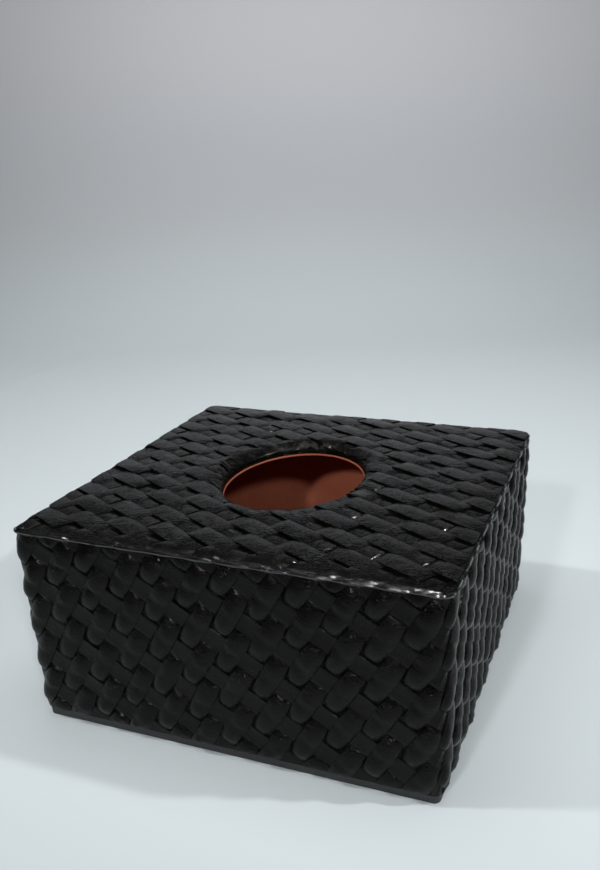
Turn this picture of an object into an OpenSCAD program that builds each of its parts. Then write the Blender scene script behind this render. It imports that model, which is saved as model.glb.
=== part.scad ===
// Square tissue box cover in woven leatherette over boards, on a base that is hinged along the back.
// Millimetres. The origin is at the middle of the underside, +Z is up, and the front faces -Y.

/* [Cover] */
// Width over the weave, from side to side
cover_w = 152.4; // [130:0.1:220]
// Depth over the weave, from front to back
cover_d = 152.4; // [130:0.1:220]
// Height over the weave, above the surface that it stands on
cover_h = 76.2; // [60:0.1:130]
// Radius of the upright corners over the weave
corner_r = 4.5; // [3.5:0.1:8]

/* [Boards] */
// Thickness of every board
board_t = 2.5; // [2:0.1:4]

/* [Leatherette] */
// Thickness of the woven leatherette under its puffs
sheet_t = 0.6; // [0.4:0.1:1]
// Rise of the puffs over that sheet
puff_rise = 1.6; // [1:0.1:2.4]
// Thickness of the plain leatherette round the base
plain_t = 0.5; // [0.3:0.1:0.8]

/* [Weave] */
// Distance from one flat ribbon to the next, measured along a puff
ribbon_pitch = 12.3; // [11:0.1:16]
// Distance from one strip of puffs to the next, measured across a puff
puff_pitch = 7.3; // [6.5:0.1:9]
// Width of a flat ribbon where it shows between two puffs
ribbon_w = 6.6; // [5:0.1:8]
// Gap between two puffs that lie side by side
puff_gap = 0.6; // [0.4:0.1:1]
// Place of one flat on the side weave, to the right of the middle of the front
side_flat_x = -0.9; // [-6:0.1:6]
// Height of the middle of that flat
side_flat_z = 4; // [0:0.1:14]
// Place of one flat on the top weave, to the right of the middle
top_flat_x = -1.2; // [-7:0.1:7]
// Place of that flat behind the middle
top_flat_y = -3.2; // [-6:0.1:6]
// Stretch of the top sheet across the width, as a share of the same weave on the sides
top_stretch_share = 1.1; // [1:0.01:1.15]
// Stretch of the top sheet from front to back, as a share of the same weave on the sides
top_spread_share = 1.035; // [1:0.005:1.1]

/* [Seams] */
// Width of the turned edge of a sheet
lip_w = 1.8; // [1.4:0.1:2.2]
// How far a turned edge stays under the top of the puffs
lip_drop = 0.2; // [0.1:0.1:0.6]
// Gap between two turned edges that meet
seam_gap = 0.4; // [0.3:0.1:0.8]

/* [Opening] */
// Width of the oval opening inside its turned-in edge
opening_w = 52; // [40:1:70]
// Depth of the oval opening inside its turned-in edge
opening_d = 68; // [56:1:90]
// How far the opening is set to the right of the middle
opening_x = -2.6; // [-4:0.1:4]
// How far the opening is set back from the middle
opening_y = 1.8; // [-4:0.1:4]
// Margin round the opening that is left without puffs
opening_margin = 1.2; // [0.8:0.1:3]

/* [Lining] */
// Thickness of the lining
lining_t = 0.6; // [0.4:0.1:1]
// How far the top lining shows as a ledge inside the opening
lining_ledge = 0.4; // [0.2:0.1:1]
// Gap between the base lining and the lined walls
lining_gap = 1; // [0.6:0.1:2]

/* [Hinge tape] */
// Thickness of the hinge tape
tape_t = 0.4; // [0.2:0.1:0.6]
// Height of the leaf that is glued to the back board
tape_up = 16; // [8:1:30]
// Depth of the leaf that is glued under the base board
tape_under = 12; // [6:1:30]
// Distance from the tape's ends to the sides of the boards
tape_end_gap = 8; // [5:1:20]
// Slack on each side of the fold beyond half the tape's thickness
tape_slack = 0.05; // [0.05:0.01:0.2]
// Gap under the woven hem that lets the cover tip back
hem_gap = 0.5; // [0.5:0.1:1.5]

/* [Catch] */
// Side of the square corner blocks
block_w = 12; // [11:0.5:20]
// Height of the corner blocks
block_h = 10; // [8:0.5:20]
// Diameter of the magnets
magnet_d = 8; // [5:0.5:9]
// Thickness of the magnets
magnet_h = 3; // [2:0.5:5]
// Diameter of the steel discs
disc_d = 8; // [5:0.5:9]
// Thickness of the steel discs
disc_h = 1; // [0.5:0.1:1.4]
// Gap round a magnet or a disc in its seat
seat_gap = 0.1; // [0.05:0.05:0.2]
// Gap between a block and the base lining
catch_gap = 0.3; // [0.2:0.1:0.6]

/* [Hidden] */
$fn = 96;
black = [0.10, 0.10, 0.10];
base_black = [0.20, 0.21, 0.22];
terracotta = [0.55, 0.26, 0.15];
wood = [0.72, 0.58, 0.42];
steel = [0.75, 0.76, 0.78];
nickel = [0.62, 0.62, 0.60];
// How far a cutting shape runs past the face that it cuts
overrun = 1;
// The least radius that an inner corner keeps
least_r = 0.3;
// More radius on the base board's corners, which keeps them clear of the rim round it
board_ease = 0.3;
// Number of straight sides that draw the oval
oval_sides = 120;
// How deep a puff is bedded in the sheet
puff_bed = sheet_t / 2;

// Levels, from the base up
base_top = plain_t + board_t;
base_lining_top = base_top + lining_t;
wall_foot = base_top + sheet_t;
hem_z = base_top + hem_gap;
board_top = cover_h - puff_rise - sheet_t;
sheet_top = board_top + sheet_t;
wall_top = board_top - board_t;
lining_top = wall_top - lining_t;
lip_top = cover_h - lip_drop;

// Insets from the outside of the weave
sheet_in = puff_rise;
board_in = puff_rise + sheet_t;
wall_in = board_in + board_t;
lined_in = wall_in + lining_t;
top_edge_in = board_in + seam_gap;
top_field_in = top_edge_in + lip_w;

// The weave repeats every row upwards, and every column sideways with a shift of half a row
weave_row = sqrt(pow(ribbon_pitch, 2) + pow(puff_pitch, 2));
weave_column = 2 * ribbon_pitch * puff_pitch / weave_row;
puff_l = 2 * ribbon_pitch - ribbon_w;
puff_w = puff_pitch - puff_gap;
// The puff's outline, as shares of its half length and half width
puff_outline_shares = [[1, 0.5], [0.8, 1], [-0.8, 1], [-1, 0.5], [-1, -0.5], [-0.8, -1], [0.8, -1], [1, -0.5]];
// Length of sheet saved by each rounded corner, and the sheet's run to the middle of each wall
corner_saving = (2 - PI / 2) * (corner_r - sheet_in);
side_run = (cover_w + cover_d) / 2 - corner_saving;

// The hinge's fold line runs along X through this point
fold_y = cover_d / 2 - board_in - tape_t / 2;
fold_z = base_top;
fold_gap = tape_t / 2 + tape_slack;
back_y = fold_y - tape_t / 2;
tape_l = cover_w - 2 * board_in - 2 * tape_end_gap;
block_z = base_lining_top + catch_gap;
catch_x = cover_w / 2 - lined_in - block_w / 2;
catch_y = -cover_d / 2 + lined_in + block_w / 2;

// Rounded rectangle at an inset from the outside of the weave, with some more radius where it is eased
module plan(inset, ease = 0) {
    r = max(corner_r - inset, least_r) + ease;
    w = cover_w - 2 * inset;
    d = cover_d - 2 * inset;
    square([w - 2 * r, d], center = true);
    square([w, d - 2 * r], center = true);
    for (x = [-1, 1], y = [-1, 1])
        translate([x * (w / 2 - r), y * (d / 2 - r)]) circle(r);
}

// A band between two insets, from one level to another
module band(outer_in, inner_in, z0, z1) {
    translate([0, 0, z0]) linear_extrude(z1 - z0) difference() {
        plan(outer_in);
        plan(inner_in);
    }
}

// Box between two corners
module block(low, high) {
    translate(low) cube(high - low);
}

// A point of the oval at an angle, moved outwards by a margin
function oval_point(angle, margin) =
    let (a = opening_w / 2, b = opening_d / 2, out = [cos(angle) / a, sin(angle) / b])
    [opening_x + a * cos(angle), opening_y + b * sin(angle)] + margin * out / norm(out);

// Upright prism on the oval, grown by a margin all round
module oval_cut(margin, z0, z1) {
    translate([0, 0, z0]) linear_extrude(z1 - z0)
        polygon([for (i = [0 : oval_sides - 1]) oval_point(360 * i / oval_sides, margin)]);
}

// One puff, lying on the XY plane with its length along Y before it is turned
module puff(turn) {
    rotate(-turn) translate([0, 0, -puff_bed]) linear_extrude(puff_rise + puff_bed)
        polygon([for (p = puff_outline_shares) [p[1] * puff_w / 2, p[0] * puff_l / 2]]);
}

// The puffs over a rectangle, where u is the sheet's run sideways and v its height. One flat is given, and
// each puff runs from a flat to the one that is a column further and a row and a half higher.
module puffs(u0, u1, v0, v1, flat, row, column) {
    for (c = [floor((u0 - flat.x) / column) - 1 : ceil((u1 - flat.x) / column) + 1])
        for (r = [floor((v0 - flat.y) / row) - 1 : ceil((v1 - flat.y) / row) + 1])
            translate([flat.x + (c + 1 / 2) * column, flat.y + (r + (abs(c) % 2) / 2 - 1 / 4) * row, 0])
                puff(atan2(column, row * 3 / 2));
}

// The puffs on one wall, turned to it by quarter turns, between two places along the wall
module wall_puffs(quarter, reach, u0, u1, u_run) {
    rotate([0, 0, 90 * quarter]) translate([0, sheet_in - reach, 0]) rotate([90, 0, 0]) intersection() {
        puffs(u0, u1, hem_z, board_top, [side_flat_x - u_run, side_flat_z], weave_row, weave_column);
        block([u0, hem_z, -puff_bed], [u1, board_top, puff_rise]);
    }
}

module top_board() {
    color(wood) difference() {
        translate([0, 0, wall_top]) linear_extrude(board_t) plan(board_in);
        oval_cut(sheet_t, wall_top - overrun, board_top + overrun);
    }
}

// Front or back wall, which runs the full width and has the rounded corners
module full_width_wall(side) {
    y0 = cover_d / 2 - wall_in;
    intersection() {
        translate([0, 0, wall_foot]) linear_extrude(wall_top - wall_foot) plan(board_in);
        mirror([0, side < 0 ? 1 : 0, 0])
            block([-cover_w / 2, y0, 0], [cover_w / 2, y0 + board_t, cover_h]);
    }
}

module front_board() {
    color(wood) full_width_wall(-1);
}

module back_board() {
    color(wood) difference() {
        full_width_wall(1);
        block([-tape_l / 2, fold_y - tape_t / 2, wall_foot - overrun],
              [tape_l / 2, cover_d / 2, fold_z + fold_gap + tape_up]);
    }
}

// Left or right wall, which stands between the front and the back
module side_wall(side) {
    x0 = cover_w / 2 - wall_in;
    y1 = cover_d / 2 - wall_in;
    mirror([side < 0 ? 1 : 0, 0, 0]) block([x0, -y1, wall_foot], [x0 + board_t, y1, wall_top]);
}

module left_board() {
    color(wood) side_wall(-1);
}

module right_board() {
    color(wood) side_wall(1);
}

// Woven sheet on the top, with its turned edge all round and its edge turned down into the opening
module top_cover() {
    half_w = cover_w / 2 - top_field_in;
    half_d = cover_d / 2 - top_field_in;
    row = weave_row * top_stretch_share;
    column = weave_column * top_spread_share;
    color(black) {
        difference() {
            union() {
                translate([0, 0, board_top]) linear_extrude(sheet_t) plan(top_edge_in);
                band(top_edge_in, top_field_in, board_top, lip_top);
                difference() {
                    translate([0, 0, sheet_top]) intersection() {
                        rotate(-90) puffs(-half_d, half_d, -half_w, half_w, [-top_flat_y, top_flat_x],
                                          row, column);
                        block([-half_w, -half_d, -puff_bed], [half_w, half_d, puff_rise]);
                    }
                    oval_cut(opening_margin, board_top - overrun, cover_h + overrun);
                }
            }
            oval_cut(sheet_t, board_top - overrun, cover_h + overrun);
        }
        difference() {
            oval_cut(sheet_t, wall_top, sheet_top);
            oval_cut(0, wall_top - overrun, cover_h + overrun);
        }
    }
}

// Woven strip round the four walls. Its upper edge is turned over and its lower edge is turned under the
// walls. Its two ends meet at the back, where it stops short of the hinge's fold line.
module side_wrap() {
    half_w = cover_w / 2 - corner_r;
    half_d = cover_d / 2 - corner_r;
    color(black) difference() {
        union() {
            band(sheet_in, board_in, base_top, board_top);
            difference() {
                translate([0, 0, base_top]) linear_extrude(sheet_t) plan(board_in);
                block([-cover_w / 2 + wall_in, -cover_d / 2 + wall_in, base_top - overrun],
                      [cover_w / 2 - wall_in, cover_d / 2 - wall_in, wall_foot + overrun]);
            }
            band(board_in - lip_w, board_in, board_top - lip_w, lip_top);
            wall_puffs(0, cover_d / 2, -half_w, half_w, 0);
            wall_puffs(1, cover_w / 2, -half_d, half_d, side_run);
            wall_puffs(3, cover_w / 2, -half_d, half_d, -side_run);
            wall_puffs(2, cover_d / 2, -half_w, 0, 2 * side_run);
            wall_puffs(2, cover_d / 2, 0, half_w, -2 * side_run);
        }
        block([-seam_gap / 2, cover_d / 2 - wall_in - overrun, 0],
              [seam_gap / 2, cover_d / 2 + overrun, cover_h + overrun]);
        block([-cover_w / 2 - overrun, fold_y - tape_t / 2, base_top - overrun],
              [cover_w / 2 + overrun, cover_d / 2 + overrun, hem_z]);
        block([-tape_l / 2, fold_y - tape_t / 2, base_top - overrun],
              [tape_l / 2, fold_y + tape_t / 2, fold_z + fold_gap + tape_up]);
    }
}

module top_lining() {
    half_w = cover_w / 2 - wall_in;
    half_d = cover_d / 2 - wall_in;
    color(terracotta) difference() {
        block([-half_w, -half_d, lining_top], [half_w, half_d, wall_top]);
        oval_cut(-lining_ledge, lining_top - overrun, wall_top + overrun);
    }
}

module front_back_lining(side) {
    half_w = cover_w / 2 - wall_in;
    y0 = cover_d / 2 - lined_in;
    color(terracotta) mirror([0, side < 0 ? 1 : 0, 0])
        block([-half_w, y0, base_top], [half_w, y0 + lining_t, lining_top]);
}

module front_lining() {
    front_back_lining(-1);
}

module back_lining() {
    front_back_lining(1);
}

module side_lining(side) {
    x0 = cover_w / 2 - lined_in;
    y1 = cover_d / 2 - lined_in;
    color(terracotta) mirror([side < 0 ? 1 : 0, 0, 0])
        block([x0, -y1, base_top], [x0 + lining_t, y1, lining_top]);
}

module left_lining() {
    side_lining(-1);
}

module right_lining() {
    side_lining(1);
}

module hinge_tape_wall_leaf() {
    color(black) block([-tape_l / 2, fold_y - tape_t / 2, fold_z + fold_gap],
                       [tape_l / 2, fold_y + tape_t / 2, fold_z + fold_gap + tape_up]);
}

// Blocks in the two front corners, each with a blind seat for its magnet
module corner_blocks() {
    color(wood) for (side = [-1, 1]) translate([side * catch_x, catch_y, block_z]) difference() {
        translate([-block_w / 2, -block_w / 2, 0]) cube([block_w, block_w, block_h]);
        translate([0, 0, -overrun]) cylinder(h = magnet_h + overrun, r = magnet_d / 2 + seat_gap);
    }
}

module magnets() {
    color(nickel) for (side = [-1, 1])
        translate([side * catch_x, catch_y, block_z]) cylinder(h = magnet_h, r = magnet_d / 2);
}

// Space for the base board inside its cover's rim, as far back and as high as it is needed. The rim is
// thinner round the corners.
module board_space(ease, y1, z1) {
    half_w = cover_w / 2 - board_in - plain_t;
    front_y = -cover_d / 2 + board_in + plain_t;
    intersection() {
        translate([0, 0, plain_t]) linear_extrude(z1 - plain_t) plan(board_in + plain_t / 2, ease);
        block([-half_w, front_y, 0], [half_w, y1, z1 + overrun]);
    }
}

// Base board with a seat for each steel disc, and one for the tape behind and under it
module base_board() {
    color(wood) difference() {
        board_space(board_ease, back_y, base_top);
        block([-tape_l / 2, back_y - tape_under, plain_t - overrun],
              [tape_l / 2, back_y + overrun, plain_t + tape_t]);
        for (side = [-1, 1]) translate([side * catch_x, catch_y, base_top - disc_h])
            cylinder(h = disc_h + overrun, r = disc_d / 2 + seat_gap);
    }
}

// Plain leatherette over the underside, turned up over the front and side edges
module base_cover() {
    color(base_black) difference() {
        linear_extrude(base_top) plan(board_in);
        board_space(0, cover_d / 2, base_top + overrun);
        block([-cover_w / 2, back_y, plain_t], [cover_w / 2, cover_d / 2, base_top + overrun]);
    }
}

module base_lining() {
    half_w = cover_w / 2 - lined_in - lining_gap;
    half_d = cover_d / 2 - lined_in - lining_gap;
    color(terracotta) block([-half_w, -half_d, base_top], [half_w, half_d, base_lining_top]);
}

module catch_discs() {
    color(steel) for (side = [-1, 1])
        translate([side * catch_x, catch_y, base_top - disc_h]) cylinder(h = disc_h, r = disc_d / 2);
}

// Angled leaf, down the back edge of the base board and forward under it
module hinge_tape_base_leaf() {
    color(black) {
        block([-tape_l / 2, back_y, plain_t], [tape_l / 2, back_y + tape_t, fold_z - fold_gap]);
        block([-tape_l / 2, back_y - tape_under, plain_t], [tape_l / 2, back_y, plain_t + tape_t]);
    }
}

top_board();
front_board();
back_board();
left_board();
right_board();
top_cover();
side_wrap();
top_lining();
front_lining();
back_lining();
left_lining();
right_lining();
hinge_tape_wall_leaf();
corner_blocks();
magnets();
base_board();
base_cover();
base_lining();
catch_discs();
hinge_tape_base_leaf();
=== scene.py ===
"""Square tissue box cover in black woven leatherette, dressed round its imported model.

Sizes are written in millimetres, as in the part's own drawing, and are turned into metres
where a finished mesh is made. The box stands at the origin, its front faces -Y and +Z is up.
A woven sheet is first laid out flat, as run, rise and height over the sheet. The strips are
set on their lattice by a Geometry Nodes tree, cut at the borders, and then draped on the box.
"""

import logging
import math
from contextlib import contextmanager
from dataclasses import dataclass
from enum import Enum
from functools import cache
from itertools import product
from typing import Callable, Iterator, Sequence

import bmesh
import bpy
import numpy as np
from bpy.types import Material, Mesh, Node, NodeSocket, NodeTree, Object
from mathutils import Matrix, Vector


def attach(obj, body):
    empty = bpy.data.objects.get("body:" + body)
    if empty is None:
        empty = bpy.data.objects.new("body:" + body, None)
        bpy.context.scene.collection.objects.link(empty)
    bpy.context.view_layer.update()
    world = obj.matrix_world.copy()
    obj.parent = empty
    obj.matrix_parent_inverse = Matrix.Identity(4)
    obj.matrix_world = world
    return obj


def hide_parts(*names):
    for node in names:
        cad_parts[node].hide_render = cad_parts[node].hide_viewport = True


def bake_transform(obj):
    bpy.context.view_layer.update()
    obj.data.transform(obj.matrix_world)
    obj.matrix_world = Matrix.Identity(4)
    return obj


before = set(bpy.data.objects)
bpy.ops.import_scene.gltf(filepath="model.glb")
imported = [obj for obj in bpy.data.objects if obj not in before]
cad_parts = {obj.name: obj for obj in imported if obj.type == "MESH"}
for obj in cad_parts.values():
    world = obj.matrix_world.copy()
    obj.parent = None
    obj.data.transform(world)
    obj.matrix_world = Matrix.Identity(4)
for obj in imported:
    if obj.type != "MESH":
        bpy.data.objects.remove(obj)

MM = 0.001
ORIGIN = (0.0, 0.0, 0.0)  # Stands for a vector that is always linked
Colour = tuple[float, float, float]
Place = tuple[float, float, float]
log = logging.getLogger("tissue_box_cover")


# Sizes that several pieces share


@dataclass(frozen=True)
class BoxSizes:
    """Outside sizes and levels of the box, as in its drawing."""

    width: float = 152.4
    depth: float = 152.4
    corner: float = 4.5
    base_top: float = 3.0
    hem: float = 3.5
    sheet: float = 0.6
    sheet_inset: float = 1.6
    wall_inset: float = 4.7
    board_top: float = 74.0
    plain_sheet: float = 0.5
    opening_width: float = 52.0
    opening_depth: float = 68.0
    opening_x: float = -2.6
    opening_y: float = 1.8
    fold_y: float = 73.8
    fold_gap: float = 0.25
    tape: float = 0.4
    tape_length: float = 132.0
    tape_up: float = 16.0
    tape_under: float = 12.0

    @property
    def sheet_top(self) -> float:
        """Level of the top sheet's face, under its strips."""
        return self.board_top + self.sheet

    @property
    def half_straight(self) -> float:
        """Half the straight part of a wall, between its rounded corners."""
        return self.width / 2 - self.corner

    @property
    def face(self) -> float:
        """Distance from the box's middle to the face of a side sheet."""
        return self.width / 2 - self.sheet_inset

    @property
    def side_run(self) -> float:
        """Run of the side strip from the middle of one wall to the middle of the next."""
        saving = (2 - math.pi / 2) * (self.corner - self.sheet_inset)
        return (self.width + self.depth) / 2 - saving

    @property
    def corner_run(self) -> float:
        """Run of the side strip that goes round one upright corner."""
        return self.side_run - 2 * self.half_straight


@dataclass(frozen=True)
class WeaveSizes:
    """Pitches and places of the plain weave of puffed strips over flat ribbons."""

    ribbon_pitch: float = 12.3
    strip_pitch: float = 7.3
    side_flat: tuple[float, float] = (-0.9, 4.0)
    top_flat: tuple[float, float] = (-1.2, -3.2)
    top_stretch: float = 1.10
    top_spread: float = 1.035

    @property
    def row(self) -> float:
        """Rise from one flat ribbon to the next straight above it."""
        return math.hypot(self.ribbon_pitch, self.strip_pitch)

    @property
    def column(self) -> float:
        """Run from one column of flat ribbons to the next."""
        return 2 * self.ribbon_pitch * self.strip_pitch / self.row

    @property
    def turn(self) -> float:
        """Angle by which the strips lean from the upright."""
        return math.atan2(self.column, 1.5 * self.row)


BOX = BoxSizes()
WEAVE = WeaveSizes()
FOLDED = 1.5  # How crumpled a folded edge is, where a strip has 1 at most
EDGE_FOLDS = (0.20, WEAVE.column, 0.36, 1.0)  # Pinch, pinch pitch, wrinkles and step of the folded edges


class Lay(Enum):
    """The two kinds of place that a strip shows at in the weave."""

    PUFF = "puff"
    FLAT = "flat"


class Body(Enum):
    """The part's two moving bodies."""

    BASE = "base"
    COVER = "cover"


# Node trees

# A socket's type by the type of its default, or by how many numbers are in it
SOCKET_TYPES = {float: "NodeSocketFloat", int: "NodeSocketInt", 3: "NodeSocketVector", 4: "NodeSocketColor"}


class Graph:
    """Adds nodes to one tree and links them."""

    def __init__(self, tree: NodeTree) -> None:
        """Keeps the tree that the nodes go into."""
        self.tree = tree

    def put(self, socket: NodeSocket, value: object) -> None:
        """Links a socket to another one, or sets its value.

        Args:
            socket: The input to fill.
            value: An output socket, a plain value, or None to leave the input as it is.
        """
        if isinstance(value, NodeSocket):
            self.tree.links.new(value, socket)
        elif value is not None:
            opaque = socket.type == "RGBA" and len(value) == 3
            socket.default_value = (*value, 1.0) if opaque else value

    def fill(self, node: Node, inputs: dict) -> Node:
        """Fills inputs of a node, by their names or numbers.

        Args:
            node: The node.
            inputs: Values or output sockets.

        Returns:
            The node.
        """
        for name, value in inputs.items():
            self.put(node.inputs[name], value)
        return node

    def add(self, kind: str, inputs: dict | None = None, **settings: object) -> Node:
        """Adds a node.

        Args:
            kind: The node's type name.
            inputs: Values or output sockets, by the input's name or number.
            settings: Properties of the node itself.

        Returns:
            The new node.
        """
        node = self.tree.nodes.new(kind)
        for name, value in settings.items():
            setattr(node, name, value)
        return self.fill(node, inputs or {})

    def math(self, operation: str, *values: object, clamp: bool = False) -> NodeSocket:
        """Adds a Math node and returns its result."""
        return self.add("ShaderNodeMath", dict(enumerate(values)), operation=operation,
                        use_clamp=clamp).outputs[0]

    def times(self, *values: object, clamp: bool = False) -> NodeSocket:
        """Multiplies two numbers."""
        return self.math("MULTIPLY", *values, clamp=clamp)

    def vector(self, operation: str, *values: object) -> NodeSocket:
        """Adds a Vector Math node and returns its first result."""
        return self.add("ShaderNodeVectorMath", dict(enumerate(values)), operation=operation).outputs[0]

    def scaled(self, vector: object, scale: object) -> NodeSocket:
        """Scales a vector by one number."""
        return self.add("ShaderNodeVectorMath", {0: vector, "Scale": scale}, operation="SCALE").outputs[0]

    def combine(self, *values: object) -> NodeSocket:
        """Makes a vector of numbers."""
        return self.add("ShaderNodeCombineXYZ", dict(enumerate(values))).outputs[0]

    def span(self, value: object, low: float, high: float, to_low: float = 0.0, to_high: float = 1.0,
             kind: str = "SMOOTHSTEP") -> NodeSocket:
        """Maps a range of a value to another range, and holds its ends."""
        return self.add("ShaderNodeMapRange", {0: value, 1: low, 2: high, 3: to_low, 4: to_high},
                        interpolation_type=kind).outputs[0]

    def mix(self, factor: object, first: object, second: object) -> NodeSocket:
        """Mixes two colours."""
        return self.add("ShaderNodeMix", {0: factor, 6: first, 7: second}, data_type="RGBA").outputs[2]

    def noise(self, vector: object, scale: object, detail: float = 3.0, rough: float = 0.5) -> NodeSocket:
        """Adds a Noise Texture and returns its value."""
        return self.add("ShaderNodeTexNoise", {"Vector": vector, "Scale": scale, "Detail": detail,
                                               "Roughness": rough}).outputs[0]

    def bump(self, height: object, depth: float, under: object = None) -> NodeSocket:
        """Adds a Bump node of a depth in millimetres, over the normal of another one."""
        return self.add("ShaderNodeBump", {"Strength": 1.0, "Distance": depth * MM, "Height": height,
                                           "Normal": under}).outputs[0]

    def attribute(self, name: str) -> NodeSocket:
        """Reads a number that is stored on the mesh's points."""
        return self.add("ShaderNodeAttribute", attribute_name=name).outputs["Fac"]

    def group(self, tree: NodeTree, *values: object) -> list[NodeSocket]:
        """Places a node group, fills its inputs in their order and returns its outputs."""
        node = self.add("ShaderNodeGroup", node_tree=tree)
        return list(self.fill(node, dict(enumerate(values))).outputs)


def add_sockets(tree: NodeTree, way: str, sockets: dict[str, object]) -> None:
    """Adds inputs or outputs to a tree.

    Args:
        tree: The tree.
        way: INPUT or OUTPUT.
        sockets: Each one's default, which also sets its type, or else its type, by its name.
    """
    for label, value in sockets.items():
        if isinstance(value, str):
            tree.interface.new_socket(name=label, in_out=way, socket_type=value)
            continue
        kind = SOCKET_TYPES[len(value) if isinstance(value, tuple) else type(value)]
        tree.interface.new_socket(name=label, in_out=way, socket_type=kind).default_value = value


def shader_group(name: str, inputs: dict[str, object], *outputs: str) -> Callable:
    """Turns a function that fills a shader node group into one that returns the group, built once.

    Args:
        name: The group's name.
        inputs: The defaults of its inputs, by their names.
        outputs: The names of its outputs. Colour is a colour, all others are numbers.

    Returns:
        The decorator. The function gets the group's Graph and the sockets of its inputs, and
        returns what goes to its outputs.
    """
    def decorate(fill: Callable[..., tuple]) -> Callable[[], NodeTree]:
        """Wraps one such function.

        Args:
            fill: The function.

        Returns:
            The function that returns the group.
        """
        @cache
        def group() -> NodeTree:
            """Builds the group.

            Returns:
                The group.
            """
            tree = bpy.data.node_groups.new(name, "ShaderNodeTree")
            add_sockets(tree, "INPUT", inputs)
            add_sockets(tree, "OUTPUT", {label: SOCKET_TYPES[4 if label == "Colour" else float]
                                         for label in outputs})
            graph = Graph(tree)
            start, end = graph.add("NodeGroupInput"), graph.add("NodeGroupOutput")
            graph.fill(end, dict(enumerate(fill(graph, *start.outputs[:len(inputs)]))))
            return tree
        return group
    return decorate


@shader_group("Pressed grain", {"Vector": ORIGIN, "Pebbles per Metre": 1100.0, "Unevenness": 0.5},
              "Height", "Creases")
def grain_group(graph: Graph, place: NodeSocket, density: NodeSocket, uneven: NodeSocket) -> tuple:
    """Pressed leather grain: small pebbles with fine creases between them, uneven in size.

    Args:
        graph: A Graph on the tree.
        place: The place on the object.
        density: Pebbles on a metre.
        uneven: How uneven in size they are.

    Returns:
        The grain's height and a mask of its creases.
    """
    bend = graph.add("ShaderNodeTexNoise", {"Vector": place, "Scale": graph.times(density, 0.4),
                                            "Detail": 2.0})
    off = graph.scaled(graph.vector("SUBTRACT", bend.outputs[1], (0.5, 0.5, 0.5)),
                       graph.math("DIVIDE", uneven, density))
    cells = graph.add("ShaderNodeTexVoronoi", {"Vector": graph.vector("ADD", place, off), "Scale": density},
                      feature="DISTANCE_TO_EDGE").outputs[0]
    pebble = graph.span(cells, 0.0, 0.15)
    coarse = graph.noise(place, graph.times(density, 0.3), 2.0)
    fine = graph.noise(place, graph.times(density, 3.1), 2.0)
    height = graph.math("ADD", graph.times(pebble, graph.span(coarse, 0.3, 0.7, 0.35, 1.0)),
                        graph.times(fine, 0.12))
    return height, graph.math("SUBTRACT", 1.0, pebble, clamp=True)


@shader_group("Strip wrinkles", {"Vector": ORIGIN, "Scale": 6.0}, "Height")
def wrinkle_group(graph: Graph, place: NodeSocket, scale: NodeSocket) -> tuple:
    """Fine wrinkles across a strip, where it was pushed together as it was woven.

    Args:
        graph: A Graph on the tree.
        place: The place on the object.
        scale: Scale of the wrinkles.

    Returns:
        The wrinkles' height.
    """
    folds = graph.noise(graph.vector("MULTIPLY", place, (0.42, 1.55, 1.0)), scale, 3.0, 0.55)
    where = graph.noise(place, graph.times(scale, 0.33), 1.0)
    off = graph.math("ABSOLUTE", graph.span(folds, 0.3, 0.7, -1.0, 1.0, "LINEAR"))
    ridge = graph.math("SUBTRACT", 1.0, off)
    return (graph.times(ridge, graph.span(where, 0.42, 0.62)),)


@shader_group("Uneven tone", {"Vector": ORIGIN, "Scale": 40.0, "Colour": (0.5, 0.5, 0.5, 1.0),
                              "Other Colour": (0.4, 0.4, 0.4, 1.0)}, "Colour", "Mask")
def tone_group(graph: Graph, place: NodeSocket, scale: NodeSocket, colour: NodeSocket,
               other: NodeSocket) -> tuple:
    """Slow changes of tone over a surface, and a mask of them.

    Args:
        graph: A Graph on the tree.
        place: The place on the object.
        scale: Scale of the changes.
        colour: The tone.
        other: The other tone.

    Returns:
        The colour and the mask.
    """
    mask = graph.span(graph.noise(place, scale, 4.0, 0.6), 0.36, 0.66)
    return graph.mix(mask, colour, other), mask


@shader_group("Hand rub", {"Vector": ORIGIN, "Lift": 0.5, "Amount": 0.5}, "Mask")
def rub_group(graph: Graph, place: NodeSocket, lift: NodeSocket, amount: NodeSocket) -> tuple:
    """Where hands have rubbed the raised places smooth.

    Args:
        graph: A Graph on the tree.
        place: The place on the object.
        lift: How high the place lies.
        amount: How rubbed the piece is.

    Returns:
        A mask of the rubbed places.
    """
    patchy = graph.noise(place, 55.0, 3.0, 0.6)
    rubbed = graph.times(graph.span(lift, 0.75, 1.05), graph.span(patchy, 0.4, 0.7))
    return (graph.times(rubbed, amount, clamp=True),)


@shader_group("Light dust", {"Vector": ORIGIN, "Amount": 0.2}, "Mask")
def dust_group(graph: Graph, place: NodeSocket, amount: NodeSocket) -> tuple:
    """A little dust on what faces up.

    Args:
        graph: A Graph on the tree.
        place: The place on the object.
        amount: How dusty the piece is.

    Returns:
        A mask of the dust.
    """
    normal = graph.add("ShaderNodeNewGeometry").outputs["True Normal"]
    facing = graph.add("ShaderNodeSeparateXYZ", {0: normal})
    specks = graph.span(graph.noise(place, 900.0, 2.0, 0.7), 0.66, 0.80)
    film = graph.span(graph.noise(place, 30.0, 3.0), 0.35, 0.8, 0.0, 0.35)
    up = graph.span(facing.outputs[2], 0.6, 1.0)
    return (graph.times(graph.times(graph.math("MAXIMUM", specks, film), up), amount, clamp=True),)


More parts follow.
